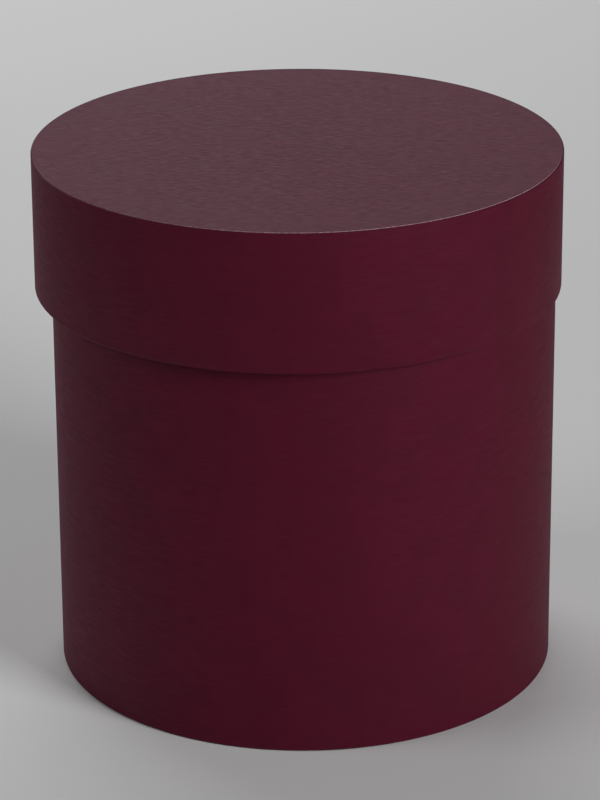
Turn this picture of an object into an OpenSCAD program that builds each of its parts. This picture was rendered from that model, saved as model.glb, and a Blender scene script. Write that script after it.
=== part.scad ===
// Round flower box: a rigid paperboard box with a lift-off telescoping lid.
//
// The body is a rolled board wall round a base board, and the lid is a rolled
// board rim round a top board. Cover paper is wrapped over each outside and
// turned in over its edges, and lining paper covers each inside.
//
// Millimetres, +Z up. The origin is the centre of the underside, on the surface
// that the box stands on. The front is towards -Y, so both lap seams face +Y.

/* [Body] */
// Outside diameter of the body, over its cover paper
body_d = 150; // [100:1:240]
// Height of the closed box, from the underside to the top of the lid
closed_h = 161.1; // [90:0.1:240]
// Thickness of the rolled board of the body's wall
wall_board = 1.5; // [1:0.1:2.5]
// Thickness of the base board
base_board = 2; // [1:0.1:3]

/* [Lid] */
// Height of the lid, from the edge of its rim to its top
lid_h = 41.8; // [30:0.1:70]
// Thickness of the rolled board of the lid's rim
rim_board = 1; // [0.8:0.1:2]
// Thickness of the lid's top board
top_board = 1.5; // [1:0.1:3]
// Gap all round between the body and the inside of the lid, when the lid is centred
lid_slack = 1.8; // [0.6:0.05:2.5]
// Gap that is left on the side to which the lid has slipped
closest_gap = 0.1; // [0.1:0.05:0.5]

/* [Papers] */
// Thickness of the cover paper
cover_t = 0.2; // [0.1:0.01:0.3]
// Thickness of the lining paper
lining_t = 0.15; // [0.08:0.01:0.25]
// How far the body's cover is turned in over its mouth
mouth_turn_in = 18; // [10:1:30]
// How far the body's cover is turned in under the base
base_turn_in = 12; // [8:1:20]
// How far the lid's cover is turned in under its rim
rim_turn_in = 15; // [8:1:25]
// How far the lid's cover is turned in over the top board
top_turn_in = 12; // [8:1:20]
// Width of cover paper that the linings leave bare inside each mouth
bare_edge = 4; // [2:0.5:8]
// Overlap where a sheet meets its own other end
lap_w = 12; // [6:1:20]

/* [Hidden] */
$fn = 180;

edge_r = 0.3;                       // rounding of every board edge that paper is folded over
fold_r = edge_r + cover_t;          // outer radius of the cover paper's fold
tab_count = 36;                     // tabs that each turned-in edge is snipped into
snip_w = 1.4;                       // width of a snip at the tabs' free ends
snip_margin = 2.5;                  // uncut paper between a fold and the snips' tips
lining_tab = 8;                     // length of the linings' glued tabs
disc_gap = 0.1;                     // play of a lining disc inside the lining's wall
base_cover_margin = 3;              // border of turned-in paper left round the base cover
ramp = 1;                           // length over which paper steps up onto another paper
joint_gap = 0.3;                    // slit where a rolled board's two ends meet
tape_w = 20;                        // width of the gummed tape over that slit
tape_t = 0.12;                      // thickness of the tape, which is pressed into the board
tape_margin = 3;                    // distance from the tape's ends to the board's edges
past = 1;                           // how far a cutting shape runs past what it cuts

body_seam_at = 102;                 // angles about +Z, from +X, of the seams' middles
body_joint_at = 138;
lining_lap_at = 64;
lid_seam_at = 74;
lid_joint_at = 38;
rim_lining_lap_at = 112;

// Radii of the body, from outside to inside
body_r = body_d / 2;
board_r = body_r - cover_t;
inside_r = board_r - wall_board;

// Radii of the lid, from inside to outside
rim_wall = lining_t + cover_t + rim_board + cover_t;
lid_r = body_r + lid_slack + rim_wall;
rim_r = lid_r - cover_t;
cap_r = rim_r - rim_board;
lid_shift = [closest_gap - lid_slack, 0, 0];

// Heights of the body
base_z = 2 * cover_t;               // underside of the boards, on two papers
floor_z = base_z + base_board;      // top of the base board
body_h = closed_h - 2 * cover_t - top_board - 2 * lining_t;
turn_in_z = body_h - mouth_turn_in; // lower edge of the paper turned in at the mouth

// Heights of the lid
lid_z = closed_h - lid_h;
cap_z = closed_h - 2 * cover_t;     // top of the lid's boards, under two papers
ceiling_z = cap_z - top_board;      // underside of the top board
rim_in_z = lid_z + rim_turn_in;     // upper edge of the paper turned in at the rim

cover_colour = [0.31, 0.09, 0.17];
lining_colour = [0.93, 0.91, 0.87];
board_colour = [0.58, 0.55, 0.50];
tape_colour = [0.70, 0.53, 0.35];

// --- profiles, drawn with the axis of the box as their Y axis ---

module block(x0, y0, x1, y1) {
    translate([x0, y0]) square([x1 - x0, y1 - y0]);
}

// What has to come off a corner at (x, y) to round it. Turn 0 is an upper right corner.
module corner_waste(x, y, turn, r) {
    translate([x, y]) rotate(turn) difference() {
        translate([-r, -r]) square(r + past);
        translate([-r, -r]) circle(r);
    }
}

// A block with each corner rounded to its own radius, or left sharp at 0.
module rounded_block(x0, y0, x1, y1, lower_left, lower_right, upper_right, upper_left) {
    difference() {
        block(x0, y0, x1, y1);
        if (lower_left > 0) corner_waste(x0, y0, 180, lower_left);
        if (lower_right > 0) corner_waste(x1, y0, 270, lower_right);
        if (upper_right > 0) corner_waste(x1, y1, 0, upper_right);
        if (upper_left > 0) corner_waste(x0, y1, 90, upper_left);
    }
}

// A glued disc of paper, level t lower or higher in its middle than over the tabs at its edge.
module stepped_disc(outer_r, tab_r, z, step, t) {
    polygon([
        [0, z + step], [tab_r - ramp, z + step], [tab_r, z], [outer_r, z],
        [outer_r, z + t], [tab_r, z + t], [tab_r - ramp, z + step + t], [0, z + step + t]
    ]);
}

// A lining's wall, which steps from radius r0 at z0 to radius r1 at z1.
module stepped_wall(r0, z0, step_z0, r1, step_z1, z1, t) {
    polygon([
        [r0, z0], [r0, step_z0], [r1, step_z1], [r1, z1],
        [r1 - t, z1], [r1 - t, step_z1], [r0 - t, step_z0], [r0 - t, z0]
    ]);
}

// --- solids of revolution and what is cut in them ---

// Angle that a strip of width w takes up round radius r.
function strip_angle(w, r) = w / r * 180 / PI;

// Part of a ring, which takes up the given angle and is centred on the angle at.
module arc_strip(r0, r1, z0, z1, angle, at) {
    rotate(at - angle / 2) rotate_extrude(angle = angle) block(r0, z0, r1, z1);
}

// Snips that turn an edge of paper into tabs, from the tips near the fold to the free ends.
module snips(tip_r, end_r, z0, z1) {
    for (i = [0:tab_count - 1]) {
        rotate(i * 360 / tab_count) translate([0, 0, z0 - past])
            linear_extrude(z1 - z0 + 2 * past)
                polygon([[tip_r, 0], [end_r - past, -snip_w / 2], [end_r - past, snip_w / 2]]);
    }
}

// The slit between a rolled board's two ends.
module board_joint(r0, r1, z0, z1, at) {
    rotate(at) translate([r0 - past, -joint_gap / 2, z0 - past])
        cube([r1 - r0 + 2 * past, joint_gap, z1 - z0 + 2 * past]);
}

// --- body ---

module body_board_profile() {
    rounded_block(inside_r, base_z, board_r, body_h - cover_t, 0, edge_r, edge_r, edge_r);
}

module body_board() {
    color(board_colour) difference() {
        rotate_extrude() body_board_profile();
        board_joint(inside_r, board_r, base_z, body_h, body_joint_at);
        arc_strip(board_r - tape_t, board_r + past, base_z + tape_margin,
                  body_h - cover_t - tape_margin, strip_angle(tape_w, board_r), body_joint_at);
    }
}

module body_seam_tape() {
    color(tape_colour)
        arc_strip(board_r - tape_t, board_r, base_z + tape_margin,
                  body_h - cover_t - tape_margin, strip_angle(tape_w, board_r), body_joint_at);
}

module base_board() {
    color(board_colour) rotate_extrude() block(0, base_z, inside_r, floor_z);
}

module body_cover_profile() {
    difference() {
        union() {
            rounded_block(inside_r - cover_t, cover_t, body_r, body_h, 0, fold_r, fold_r, fold_r);
            block(body_r - base_turn_in, cover_t, inside_r, base_z);
        }
        body_board_profile();
        block(inside_r - cover_t - past, base_z, inside_r, turn_in_z);
    }
}

module body_cover_paper() {
    color(cover_colour) union() {
        difference() {
            rotate_extrude() body_cover_profile();
            snips(body_r - snip_margin, body_r - base_turn_in, cover_t, base_z);
        }
        arc_strip(board_r, body_r + cover_t, cover_t + fold_r, body_h - fold_r,
                  strip_angle(lap_w, body_r), body_seam_at);
    }
}

module body_lining_paper() {
    color(lining_colour) union() {
        rotate_extrude()
            stepped_wall(inside_r, floor_z, turn_in_z - ramp, inside_r - cover_t, turn_in_z,
                         body_h - bare_edge, lining_t);
        difference() {
            rotate_extrude() block(inside_r - lining_tab, floor_z, inside_r, floor_z + lining_t);
            snips(inside_r - snip_margin, inside_r - lining_tab, floor_z, floor_z + lining_t);
        }
        arc_strip(inside_r - 2 * lining_t, inside_r, floor_z + lining_t,
                  turn_in_z - ramp, strip_angle(lap_w, inside_r), lining_lap_at);
    }
}

module base_lining_paper() {
    color(lining_colour) rotate_extrude()
        stepped_disc(inside_r - 2 * lining_t - disc_gap, inside_r - lining_tab,
                     floor_z + lining_t, -lining_t, lining_t);
}

module base_cover_paper() {
    color(cover_colour) rotate_extrude()
        stepped_disc(body_r - base_cover_margin, body_r - base_turn_in, 0, cover_t, cover_t);
}

// --- lid, drawn centred on the body and then moved by lid_shift ---

module lid_rim_board_profile() {
    rounded_block(cap_r, lid_z + cover_t, rim_r, cap_z, edge_r, edge_r, edge_r, 0);
}

module lid_rim_board() {
    color(board_colour) translate(lid_shift) difference() {
        rotate_extrude() lid_rim_board_profile();
        board_joint(cap_r, rim_r, lid_z, cap_z, lid_joint_at);
        arc_strip(rim_r - tape_t, rim_r + past, lid_z + cover_t + tape_margin,
                  cap_z - tape_margin, strip_angle(tape_w, rim_r), lid_joint_at);
    }
}

module lid_seam_tape() {
    color(tape_colour) translate(lid_shift)
        arc_strip(rim_r - tape_t, rim_r, lid_z + cover_t + tape_margin,
                  cap_z - tape_margin, strip_angle(tape_w, rim_r), lid_joint_at);
}

module lid_top_board() {
    color(board_colour) translate(lid_shift) rotate_extrude() block(0, ceiling_z, cap_r, cap_z);
}

module lid_rim_cover_profile() {
    difference() {
        union() {
            rounded_block(cap_r - cover_t, lid_z, lid_r, cap_z + cover_t, fold_r, fold_r, fold_r, 0);
            block(lid_r - top_turn_in, cap_z, cap_r, cap_z + cover_t);
        }
        lid_rim_board_profile();
        block(cap_r - cover_t - past, rim_in_z, cap_r, cap_z);
    }
}

module lid_rim_cover_paper() {
    color(cover_colour) translate(lid_shift) union() {
        difference() {
            rotate_extrude() lid_rim_cover_profile();
            snips(lid_r - snip_margin, lid_r - top_turn_in, cap_z, cap_z + cover_t);
        }
        arc_strip(rim_r, lid_r + cover_t, lid_z + fold_r, cap_z + cover_t - fold_r,
                  strip_angle(lap_w, lid_r), lid_seam_at);
    }
}

// A disc that brings the middle of the top board up level with the turned-in tabs.
module lid_top_filler() {
    color(lining_colour) translate(lid_shift) rotate_extrude()
        block(0, cap_z, lid_r - top_turn_in - disc_gap, cap_z + cover_t);
}

module lid_top_cover_paper() {
    color(cover_colour) translate(lid_shift) rotate_extrude()
        block(0, cap_z + cover_t, lid_r - fold_r, closed_h);
}

module lid_rim_lining_paper() {
    color(lining_colour) translate(lid_shift) union() {
        rotate_extrude()
            stepped_wall(cap_r - cover_t, lid_z + bare_edge, rim_in_z, cap_r, rim_in_z + ramp,
                         ceiling_z, lining_t);
        difference() {
            rotate_extrude() block(cap_r - lining_tab, ceiling_z - lining_t, cap_r, ceiling_z);
            snips(cap_r - snip_margin, cap_r - lining_tab, ceiling_z - lining_t, ceiling_z);
        }
        arc_strip(cap_r - 2 * lining_t, cap_r, rim_in_z + ramp, ceiling_z - lining_t,
                  strip_angle(lap_w, cap_r), rim_lining_lap_at);
    }
}

module lid_top_lining_paper() {
    color(lining_colour) translate(lid_shift) rotate_extrude()
        stepped_disc(cap_r - 2 * lining_t - disc_gap, cap_r - lining_tab,
                     ceiling_z - 2 * lining_t, lining_t, lining_t);
}

body_board();
body_seam_tape();
base_board();
body_cover_paper();
body_lining_paper();
base_lining_paper();
base_cover_paper();
lid_rim_board();
lid_seam_tape();
lid_top_board();
lid_top_filler();
lid_rim_cover_paper();
lid_top_cover_paper();
lid_rim_lining_paper();
lid_top_lining_paper();
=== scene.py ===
"""Looks of a round flower box: burgundy paper over rolled board, lined in white, with a lift-off lid.

Every piece is a sheet of paper that is turned round the axis of the box from the path that it
follows, given its thickness, and glued over itself in a lap seam. The frame's boards stay.
"""

import math

import bmesh
import bpy
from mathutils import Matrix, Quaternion, Vector


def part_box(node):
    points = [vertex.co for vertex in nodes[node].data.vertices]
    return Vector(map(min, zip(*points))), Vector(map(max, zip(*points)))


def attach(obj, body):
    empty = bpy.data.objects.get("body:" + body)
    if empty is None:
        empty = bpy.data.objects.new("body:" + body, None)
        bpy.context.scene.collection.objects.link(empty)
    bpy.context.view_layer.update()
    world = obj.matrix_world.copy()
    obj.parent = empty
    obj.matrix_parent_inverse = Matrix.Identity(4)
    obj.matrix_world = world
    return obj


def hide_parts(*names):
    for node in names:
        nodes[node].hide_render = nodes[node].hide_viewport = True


MM = 0.001
TOP = Vector((0, 0, 1))

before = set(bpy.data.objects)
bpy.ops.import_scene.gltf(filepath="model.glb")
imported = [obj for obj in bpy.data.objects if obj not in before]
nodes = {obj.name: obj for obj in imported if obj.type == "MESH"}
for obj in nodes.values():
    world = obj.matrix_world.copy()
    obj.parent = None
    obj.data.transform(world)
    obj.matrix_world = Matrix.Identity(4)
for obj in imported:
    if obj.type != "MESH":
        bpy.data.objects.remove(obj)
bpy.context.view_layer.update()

# ---------------------------------------------------------------- sizes


def radius(node):
    low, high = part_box(node)
    return (high.x - low.x) / 2


def bottom(node):
    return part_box(node)[0].z


def top(node):
    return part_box(node)[1].z


COVER = top("lid_top_cover_paper") - bottom("lid_top_cover_paper")
LINING = (top("base_lining_paper") - bottom("base_lining_paper")) / 2

body_r = radius("body_cover_paper")
inside_r = radius("base_board")
mouth_r = body_r - radius("body_board") + inside_r - 2 * COVER
foot_z = bottom("body_cover_paper")
mouth_z = top("body_cover_paper")
floor_z = top("base_board")

lid_x = (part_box("lid_top_board")[0].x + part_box("lid_top_board")[1].x) / 2
lid_r = radius("lid_rim_cover_paper")
cap_r = radius("lid_top_board")
lid_low = bottom("lid_rim_cover_paper")
cap_z = top("lid_top_board")
ceiling_z = bottom("lid_top_board")
closed_z = top("lid_top_cover_paper")

BOARD_FOLD = 0.6 * MM        # radius of the cover paper's folds round the cut edges of a wall or rim
CAP_FOLD = 0.3 * MM          # radius of its crisper fold over the edge of the lid's top
LINING_FOLD = 0.35 * MM      # radius of the lining's folds in the corners of the floor and the ceiling
MOUTH_TURN_IN = 18 * MM      # cover paper turned in over the mouth
RIM_TURN_IN = 15 * MM        # cover paper turned in under the rim of the lid
TAB = 12 * MM                # cover paper turned in over the base and over the top
LINING_TAB = 8 * MM          # lining paper turned on to the floor and the ceiling
SNIP_TIP = 2.5 * MM          # paper left uncut between a fold and the snips
SNIP = 1.4 * MM              # width of a snip at the tabs' ends
TABS = 36
STEP_UP = 1 * MM             # length over which a paper climbs on to another one
LAP = 12 * MM                # overlap of a sheet's two ends
DISC_PLAY = 0.1 * MM         # gap between a lining disc and the wall round it
UNEVEN = 0.25 * MM           # drift of a loose edge that was cut by hand
PRESSED = 5                  # how many times lower a lap is where it lies flat than on the wall
BASE_RINGS = (0.99, 0.97, 0.95, 0.92, 0.90)    # rings of the base cover that can sink, in its radii
SINK = 0.8                   # how far the base cover sinks into an open snip, in thicknesses of paper
SINK_WIDTH = 0.7             # degrees from the middle of a snip within which it sinks

TURN_STEPS = 288             # flats in a full turn of a sheet
FOLD_STEPS = 4
WELD = 0.001 * MM
SHARP = math.radians(40)

BODY_SEAM = 102              # where the laps start, in degrees from +X
LID_SEAM = 74
BODY_LINING_SEAM = 64
LID_LINING_SEAM = 112

# ---------------------------------------------------------------- papermaking


def around(vertex, axis_x):
    """Angle of a vertex about an upright axis at x, in degrees from 0 to 360."""
    return math.degrees(math.atan2(vertex.y, vertex.x - axis_x)) % 360


def uneven(angle, size):
    """A slow drift that comes back to itself after a full turn, as a hand-laid edge has."""
    a = math.radians(angle)
    return size * (0.5 * math.sin(2 * a + 0.7) + 0.3 * math.sin(5 * a + 2.1) + 0.2 * math.sin(11 * a))


def turn_path(path, axis_x):
    """The face of a sheet: a path of (radius, height) points, turned a full circle. The paper folds
    at each point that has a third number, the radius of its fold."""
    bm = bmesh.new()
    line = [bm.verts.new((axis_x + point[0], 0, point[1])) for point in path]
    for a, b in zip(line, line[1:]):
        bm.edges.new((a, b))
    for corner, point in zip(line, path):
        for fold in point[2:]:
            bmesh.ops.bevel(bm, geom=[corner], affect="VERTICES", offset=fold, segments=FOLD_STEPS,
                            profile=0.5, material=-1)
    bmesh.ops.spin(bm, geom=bm.verts[:] + bm.edges[:], cent=(axis_x, 0, 0), axis=TOP,
                   angle=math.tau, steps=TURN_STEPS, use_merge=True)
    bmesh.ops.remove_doubles(bm, verts=bm.verts[:], dist=WELD)
    bmesh.ops.recalc_face_normals(bm, faces=bm.faces[:])
    return bm


def face_it(bm, axis_x, facing):
    """Turns the sheet's printed face out, in, up or down, as its largest flat shows."""
    flat = max(bm.faces, key=lambda f: f.calc_area())
    middle = flat.calc_center_median()
    outwards = Vector((middle.x - axis_x, middle.y, 0))
    wanted = {"out": outwards, "in": -outwards, "up": TOP, "down": -TOP}[facing]
    if flat.normal.dot(wanted) < 0:
        bmesh.ops.reverse_faces(bm, faces=bm.faces[:])
    bm.normal_update()


def snip_tabs(bm, axis_x, tip_r, end_r):
    """Snips the flat stretch between two radii into tabs, and opens each snip at the tabs' ends."""
    each = 360 / TABS
    low, high = min(tip_r, end_r) - WELD, max(tip_r, end_r) + WELD

    def in_stretch(vertex):
        return low < math.hypot(vertex.co.x - axis_x, vertex.co.y) < high

    def off_snip(position):
        return (around(position, axis_x) + each / 2) % each - each / 2

    flats = {f for f in bm.faces if abs(f.normal.z) > 0.99 and all(in_stretch(v) for v in f.verts)}
    cuts = [e for e in bm.edges if flats.intersection(e.link_faces)
            and all(abs(off_snip(v.co)) < 0.01 for v in e.verts)]
    bmesh.ops.split_edges(bm, edges=cuts)
    for v in {v for f in flats for v in f.verts}:
        reach = math.hypot(v.co.x - axis_x, v.co.y)
        if abs(reach - end_r) > WELD or abs(off_snip(v.co)) > 0.01:
            continue
        side = sum(off_snip(f.calc_center_median()) for f in v.link_faces)
        sideways = TOP.cross(Vector((v.co.x - axis_x, v.co.y, 0))).normalized()
        v.co += sideways * math.copysign(SNIP / 2, side)


def thicken(bm, thickness):
    """Gives the sheet its thickness behind its face. Its back and its cut edges show its core."""
    face = set(bm.faces)
    bmesh.ops.solidify(bm, geom=bm.faces[:], thickness=thickness)
    for f in bm.faces:
        f.material_index = 0 if f in face else 1
    return face


def glue_lap(bm, face, toward, axis_x, seam_at, wall_r, lift):
    """Lays the sheet's last end over its first one: a strip that climbs on at one side and ends
    at the other in a cut edge. Away from the wall it is pressed nearly flat."""
    step = 360 / TURN_STEPS
    first = round(seam_at / step)
    width = round(LAP / (math.tau * wall_r) * TURN_STEPS)
    strip = [f for f in face if first < around(f.calc_center_median(), axis_x) / step < first + width]
    raised = bmesh.ops.extrude_face_region(bm, geom=strip)["geom"]
    bmesh.ops.delete(bm, geom=[f for f in strip if f.is_valid], context="FACES_KEEP_BOUNDARY")
    for v in [v for v in raised if isinstance(v, bmesh.types.BMVert)]:
        on_wall = abs(math.hypot(v.co.x - axis_x, v.co.y) - wall_r) < WELD
        climbs = abs(around(v.co, axis_x) - first * step) < step / 2
        v.co += v[toward] * (0 if climbs else lift if on_wall else lift / PRESSED)
    bmesh.ops.remove_doubles(bm, verts=bm.verts[:], dist=WELD)
    bm.normal_update()
    for f in bm.faces:
        sideways = TOP.cross(f.calc_center_median() - Vector((axis_x, 0, 0))).normalized()
        if abs(f.normal.dot(sideways)) > 0.9:
            f.material_index = 1


def finish_piece(bm, name, materials, body, stands_for):
    """Makes the shape a piece of the frame's body, in place of the frame's own solid."""
    mesh = bpy.data.meshes.new(name)
    bm.to_mesh(mesh)
    bm.free()
    for material in materials:
        mesh.materials.append(material)
    for polygon in mesh.polygons:
        polygon.use_smooth = True
    mesh.set_sharp_from_angle(angle=SHARP)
    piece = bpy.data.objects.new(name, mesh)
    bpy.context.scene.collection.objects.link(piece)
    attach(piece, body)
    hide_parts(stands_for)
    return piece


def wrap(name, path, facing, thickness, seam_at, wall_r, tabs, materials, body, node, axis_x=0.0,
         loose_edge=None):
    """A sheet wrapped round a wall, with folds, snipped tabs and a lap seam."""
    bm = turn_path(path, axis_x)
    face_it(bm, axis_x, facing)
    snip_tabs(bm, axis_x, *tabs)
    if loose_edge is not None:
        for v in bm.verts:
            if abs(v.co.z - loose_edge) < WELD:
                v.co.z += uneven(around(v.co, axis_x), UNEVEN)
    bm.normal_update()
    toward = bm.verts.layers.float_vector.new("toward")
    for v in bm.verts:
        v[toward] = v.normal
    face = thicken(bm, thickness)
    glue_lap(bm, face, toward, axis_x, seam_at, wall_r, thickness)
    bm.verts.layers.float_vector.remove(toward)
    return finish_piece(bm, name, materials, body, node)


def disc(name, path, facing, thickness, materials, body, node, axis_x=0.0, shape=None):
    """A round sheet glued flat, over the tabs of the wrapped one."""
    bm = turn_path(path, axis_x)
    face_it(bm, axis_x, facing)
    if shape:
        for v in bm.verts:
            v.co += shape(v.co)
    thicken(bm, thickness)
    return finish_piece(bm, name, materials, body, node)


# ---------------------------------------------------------------- materials


class Finish:
    """Builds a node material on a Principled shader."""

    def __init__(self, name, **constants):
        self.material = bpy.data.materials.new(name)
        self.material.use_nodes = True
        self.tree = self.material.node_tree
        self.shader = self.tree.nodes["Principled BSDF"]
        for socket, value in constants.items():
            self.shader.inputs[socket.replace("_", " ")].default_value = value
        self.place = self.tree.nodes.new("ShaderNodeTexCoord").outputs["Object"]

    def node(self, kind, **settings):
        made = self.tree.nodes.new("ShaderNode" + kind)
        for key, value in settings.items():
            if key in made.inputs:
                made.inputs[key].default_value = value
            else:
                setattr(made, key, value)
        return made

    def join(self, out, to):
        self.tree.links.new(out, to)

    def noise(self, scale, stretch=(1, 1, 1), detail=3.0, roughness=0.55):
        """Noise with that many cells to the metre, drawn out by stretch."""
        mapping = self.node("Mapping")
        mapping.inputs["Scale"].default_value = [scale / s for s in stretch]
        self.join(self.place, mapping.inputs["Vector"])
        made = self.node("TexNoise", Scale=1.0, Detail=detail, Roughness=roughness)
        self.join(mapping.outputs["Vector"], made.inputs["Vector"])
        return made.outputs["Fac"]

    def between(self, value, low, high, to_low=0.0, to_high=1.0):
        made = self.node("MapRange")
        for socket, number in zip(("From Min", "From Max", "To Min", "To Max"), (low, high, to_low, to_high)):
            made.inputs[socket].default_value = number
        self.join(value, made.inputs["Value"])
        return made.outputs["Result"]

    def blend(self, share, first, second):
        """Mixes two colours, each a colour or another node's output."""
        made = self.node("Mix", data_type="RGBA")
        for socket, colour in zip((made.inputs[6], made.inputs[7]), (first, second)):
            if isinstance(colour, tuple):
                socket.default_value = (*colour, 1)
            else:
                self.join(colour, socket)
        self.join(share, made.inputs[0])
        return made.outputs[2]

    def colour(self, out):
        self.join(out, self.shader.inputs["Base Color"])

    def rough(self, value, low, high):
        self.join(self.between(value, 0.3, 0.7, low, high), self.shader.inputs["Roughness"])

    def relief(self, value, depth, strength=1.0):
        bump = self.node("Bump", Strength=strength, Distance=depth)
        self.join(value, bump.inputs["Height"])
        self.join(bump.outputs["Normal"], self.shader.inputs["Normal"])


def burgundy_paper(name, grain):
    """Smooth dyed paper with a satin face and a fine grain drawn out along the given stretch."""
    m = Finish(name, Specular_Tint=(1.0, 0.4, 0.8, 1.0))
    mottle = m.noise(90, detail=2.0)
    fibres = m.noise(2000, stretch=grain, detail=4.0)
    flecks = m.noise(1500, stretch=grain, detail=1.0)
    dyed = m.blend(m.between(mottle, 0.35, 0.65), (0.070, 0.001, 0.006), (0.080, 0.001, 0.008))
    dyed = m.blend(m.between(flecks, 0.66, 0.80, 0.0, 0.35), dyed, (0.09, 0.012, 0.025))
    m.colour(dyed)
    m.rough(fibres, 0.65, 0.80)
    m.relief(fibres, 0.04 * MM, 0.7)
    return m.material


def paper_core(name, pale, deep):
    """The fibrous core that shows where dyed paper is cut."""
    m = Finish(name, Roughness=0.85)
    fibres = m.noise(900, detail=4.0)
    m.colour(m.blend(m.between(fibres, 0.4, 0.62), deep, pale))
    m.relief(fibres, 0.03 * MM, 0.5)
    return m.material


def white_paper(name):
    """Uncoated lining paper with a faint tooth and a few darker fibres."""
    m = Finish(name, Roughness=0.8)
    tooth = m.noise(1800, detail=5.0)
    cloud = m.noise(60, detail=3.0)
    fibres = m.noise(1100, stretch=(3, 3, 1), detail=1.0)
    sheet = m.blend(m.between(cloud, 0.3, 0.7), (0.76, 0.735, 0.68), (0.80, 0.78, 0.725))
    m.colour(m.blend(m.between(fibres, 0.68, 0.8, 0.0, 0.5), sheet, (0.6, 0.55, 0.47)))
    m.rough(tooth, 0.76, 0.86)
    m.relief(tooth, 0.03 * MM, 0.5)
    return m.material


def greyboard(name):
    """Pressed grey board of waste paper, with light and dark specks."""
    m = Finish(name, Roughness=0.9)
    pulp = m.noise(400, detail=5.0)
    specks = m.noise(1300, detail=2.0)
    board = m.blend(m.between(pulp, 0.35, 0.65), (0.24, 0.22, 0.19), (0.33, 0.30, 0.26))
    m.colour(m.blend(m.between(specks, 0.64, 0.74), board, (0.12, 0.11, 0.10)))
    m.rough(pulp, 0.86, 0.94)
    m.relief(pulp, 0.06 * MM, 0.6)
    return m.material


def kraft_tape(name):
    """Brown gummed tape with a long grain."""
    m = Finish(name, Roughness=0.6)
    grain = m.noise(900, stretch=(1, 1, 8), detail=4.0)
    m.colour(m.blend(m.between(grain, 0.35, 0.65), (0.36, 0.21, 0.10), (0.48, 0.30, 0.16)))
    m.rough(grain, 0.5, 0.65)
    m.relief(grain, 0.03 * MM, 0.5)
    return m.material


# ---------------------------------------------------------------- pieces

ALONG_WALL = (12, 12, 1)     # grain round a wall: twelve times as long as it is high
ALONG_FLAT = (6, 1, 1)       # grain across a flat disc, from side to side

wall_face = burgundy_paper("burgundy_wall", ALONG_WALL)
flat_face = burgundy_paper("burgundy_flat", ALONG_FLAT)
cover_core = paper_core("burgundy_core", (0.56, 0.35, 0.42), (0.34, 0.17, 0.23))
lining_face = white_paper("white_lining")
lining_core = paper_core("lining_core", (0.72, 0.69, 0.63), (0.58, 0.54, 0.47))
board = greyboard("greyboard")
tape = kraft_tape("kraft_tape")


def make_body():
    foot_tab_r = body_r - TAB
    wrap("body_wrap",
         [(foot_tab_r, foot_z), (body_r - SNIP_TIP, foot_z), (body_r, foot_z, BOARD_FOLD),
          (body_r, mouth_z, BOARD_FOLD), (mouth_r, mouth_z, BOARD_FOLD), (mouth_r, mouth_z - MOUTH_TURN_IN)],
         "out", COVER, BODY_SEAM, body_r, (body_r - SNIP_TIP, foot_tab_r),
         (wall_face, cover_core), "box", "body_cover_paper",
         loose_edge=mouth_z - MOUTH_TURN_IN)
    under = mouth_z - MOUTH_TURN_IN
    lined_r = inside_r - LINING
    floor_tab_r = inside_r - LINING_TAB
    floor_face = floor_z + LINING
    mouth_edge = top("body_lining_paper")
    wrap("body_lining",
         [(mouth_r - LINING, mouth_edge), (mouth_r - LINING, under), (lined_r, under - STEP_UP),
          (lined_r, floor_face, LINING_FOLD), (inside_r - SNIP_TIP, floor_face), (floor_tab_r, floor_face)],
         "in", LINING, BODY_LINING_SEAM, lined_r, (inside_r - SNIP_TIP, floor_tab_r),
         (lining_face, lining_core), "box", "body_lining_paper",
         loose_edge=mouth_edge)
    disc("base_lining",
         [(lined_r - LINING - DISC_PLAY, floor_face + LINING), (floor_tab_r, floor_face + LINING),
          (floor_tab_r - STEP_UP, floor_face), (0, floor_face)],
         "up", LINING, (lining_face, lining_core), "box", "base_lining_paper")
    rings = [radius("base_cover_paper") * share for share in BASE_RINGS]

    def over_tabs(place):
        reach = math.hypot(place.x, place.y)
        off = abs((around(place, 0) + 180 / TABS) % (360 / TABS) - 180 / TABS)
        open_by = max(0, (body_r - SNIP_TIP - reach) / (TAB - SNIP_TIP))
        sinks = foot_tab_r <= reach and off < SINK_WIDTH
        return TOP * (SINK * COVER * open_by if sinks else 0)

    disc("base_cover",
         [(0, COVER), (foot_tab_r - STEP_UP, COVER), (foot_tab_r, 0)]
         + [(r, 0) for r in reversed(rings)] + [(radius("base_cover_paper"), 0)],
         "down", COVER, (flat_face, cover_core), "box", "base_cover_paper",
         shape=over_tabs)


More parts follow.
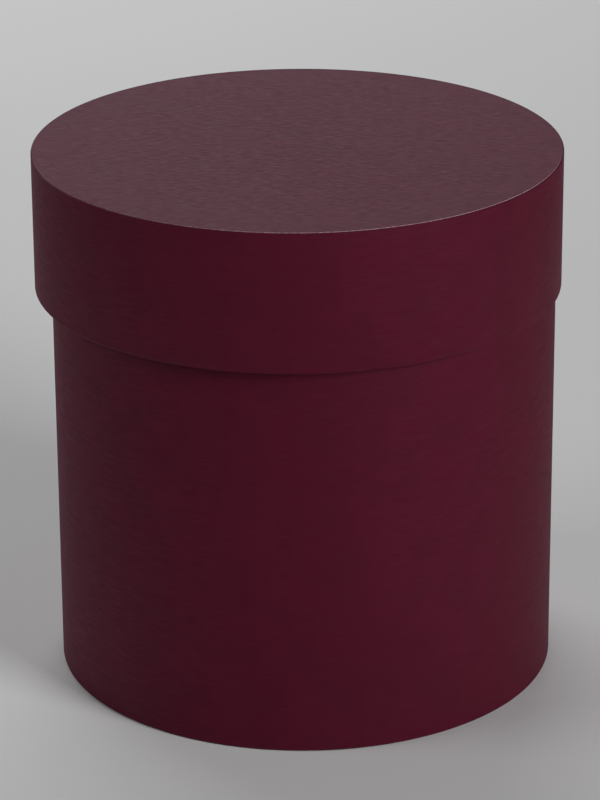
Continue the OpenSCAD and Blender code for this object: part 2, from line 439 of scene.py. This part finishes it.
def make_lid():
    top_tab_r = lid_r - TAB
    tuck_r = cap_r - COVER
    tuck_z = lid_low + RIM_TURN_IN
    fold_z = cap_z + COVER
    wrap("lid_wrap",
         [(tuck_r, tuck_z), (tuck_r, lid_low, BOARD_FOLD), (lid_r, lid_low, BOARD_FOLD),
          (lid_r, fold_z, CAP_FOLD), (lid_r - SNIP_TIP, fold_z), (top_tab_r, fold_z)],
         "out", COVER, LID_SEAM, lid_r, (lid_r - SNIP_TIP, top_tab_r),
         (wall_face, cover_core), "lid", "lid_rim_cover_paper", axis_x=lid_x,
         loose_edge=tuck_z)
    disc("lid_top",
         [(radius("lid_top_cover_paper"), closed_z), (0, closed_z)],
         "up", COVER, (flat_face, cover_core), "lid", "lid_top_cover_paper",
         axis_x=lid_x)
    lined_r = cap_r - LINING
    ceiling_face = ceiling_z - LINING
    ceiling_tab_r = cap_r - LINING_TAB
    rim_edge = bottom("lid_rim_lining_paper")
    wrap("lid_lining",
         [(ceiling_tab_r, ceiling_face), (cap_r - SNIP_TIP, ceiling_face),
          (lined_r, ceiling_face, LINING_FOLD), (lined_r, tuck_z + STEP_UP),
          (tuck_r - LINING, tuck_z), (tuck_r - LINING, rim_edge)],
         "in", LINING, LID_LINING_SEAM, lined_r, (cap_r - SNIP_TIP, ceiling_tab_r),
         (lining_face, lining_core), "lid", "lid_rim_lining_paper", axis_x=lid_x,
         loose_edge=rim_edge)
    disc("lid_ceiling",
         [(0, ceiling_face), (ceiling_tab_r - STEP_UP, ceiling_face), (ceiling_tab_r, ceiling_face - LINING),
          (lined_r - LINING - DISC_PLAY, ceiling_face - LINING)],
         "down", LINING, (lining_face, lining_core), "lid", "lid_top_lining_paper",
         axis_x=lid_x)


make_body()
make_lid()

for name, finish in {"body_board": board, "base_board": board, "lid_rim_board": board,
                     "lid_top_board": board, "body_seam_tape": tape, "lid_seam_tape": tape,
                     "lid_top_filler": lining_face}.items():
    nodes[name].data.materials.clear()
    nodes[name].data.materials.append(finish)

# ---------------------------------------------------------------- studio

SWEEP_RADIUS = 4.5           # metres from the box to the backdrop, all round
SWEEP_HEIGHT = 3.0
SWEEP_CURVE = 0.9
SWEEP_STEPS = 96             # flats in a full turn of it
SWEEP_CURVE_STEPS = 16


def make_sweep():
    """A pale round floor that curves up into a backdrop on every side."""
    bm = bmesh.new()
    profile = ((0, 0, 0), (SWEEP_RADIUS, 0, 0), (SWEEP_RADIUS, 0, SWEEP_HEIGHT))
    line = [bm.verts.new(place) for place in profile]
    for a, b in zip(line, line[1:]):
        bm.edges.new((a, b))
    bmesh.ops.bevel(bm, geom=[line[1]], affect="VERTICES", offset=SWEEP_CURVE,
                    segments=SWEEP_CURVE_STEPS, profile=0.5, material=-1)
    bmesh.ops.spin(bm, geom=bm.verts[:] + bm.edges[:], cent=(0, 0, 0), axis=TOP,
                   angle=math.tau, steps=SWEEP_STEPS, use_merge=True)
    bmesh.ops.remove_doubles(bm, verts=bm.verts[:], dist=WELD)
    bmesh.ops.recalc_face_normals(bm, faces=bm.faces[:])
    if min(bm.faces, key=lambda f: f.calc_center_median().length).normal.z < 0:
        bmesh.ops.reverse_faces(bm, faces=bm.faces[:])
    mesh = bpy.data.meshes.new("sweep")
    bm.to_mesh(mesh)
    bm.free()
    for polygon in mesh.polygons:
        polygon.use_smooth = True
    m = Finish("sweep_paper", Roughness=0.9)
    m.colour(m.blend(m.noise(2, detail=2.0), (0.78, 0.78, 0.79), (0.80, 0.80, 0.81)))
    m.shader.inputs["Specular IOR Level"].default_value = 0.2
    mesh.materials.append(m.material)
    sweep = bpy.data.objects.new("sweep", mesh)
    bpy.context.scene.collection.objects.link(sweep)


LAMP_DISTANCE = 1.6          # metres from the box, for every lamp
LAMP_HEIGHT = 0.8            # metres
# name, azimuth, elevation, width in metres, spread, watts, with all angles in degrees
LAMPS = (
    ("key_softbox", 46, 25, 0.6, 120, 6),          # a grid keeps its light off the floor below it
    ("left_fill", -75, 35, 0.8, 180, 4.5),
    ("back_light", -165, 35, 1.6, 180, 12),
)
WORLD = (0.02, 0.02, 0.02)
AIM = Vector((0, 0, 0.08))   # middle of the box, in metres


def towards_camera_side(azimuth, elevation):
    """A direction from the box. Azimuth 0 is the camera's side and 90 is its right."""
    a, e = math.radians(azimuth), math.radians(elevation)
    return Vector((math.sin(a) * math.cos(e), -math.cos(a) * math.cos(e), math.sin(e)))


def make_lamps():
    for name, azimuth, elevation, width, spread, watts in LAMPS:
        lamp = bpy.data.lights.new(name, "AREA")
        lamp.shape = "RECTANGLE"
        lamp.size, lamp.size_y = width, LAMP_HEIGHT
        lamp.energy, lamp.spread = watts, math.radians(spread)
        away = towards_camera_side(azimuth, elevation)
        placed = bpy.data.objects.new(name, lamp)
        placed.location = AIM + away * LAMP_DISTANCE
        placed.rotation_mode = "QUATERNION"
        placed.rotation_quaternion = (-away).to_track_quat("-Z", "Y")
        bpy.context.scene.collection.objects.link(placed)
    world = bpy.data.worlds.new("studio")
    world.use_nodes = True
    world.node_tree.nodes["Background"].inputs["Color"].default_value = (*WORLD, 1)
    bpy.context.scene.world = world


# The camera, matched to the outline of the box in a frame of 600 by 800
CAMERA_AIM = Vector((-1.364, 0, 80.42)) * MM
CAMERA_DISTANCE = 1122.9 * MM
CAMERA_ELEVATION = 21.831
CAMERA_ROLL = math.radians(0.357)
FOCAL = 167.25               # millimetres, on a sensor whose long side is 36 mm


def make_camera():
    data = bpy.data.cameras.new("camera")
    data.lens = FOCAL
    camera = bpy.data.objects.new("camera", data)
    back = towards_camera_side(0, CAMERA_ELEVATION)
    camera.location = CAMERA_AIM + back * CAMERA_DISTANCE
    camera.rotation_mode = "QUATERNION"
    camera.rotation_quaternion = (-back).to_track_quat("-Z", "Y") @ Quaternion(TOP, -CAMERA_ROLL)
    bpy.context.scene.collection.objects.link(camera)
    bpy.context.scene.camera = camera


make_sweep()
make_lamps()
make_camera()
bpy.context.scene.view_settings.view_transform = "Standard"
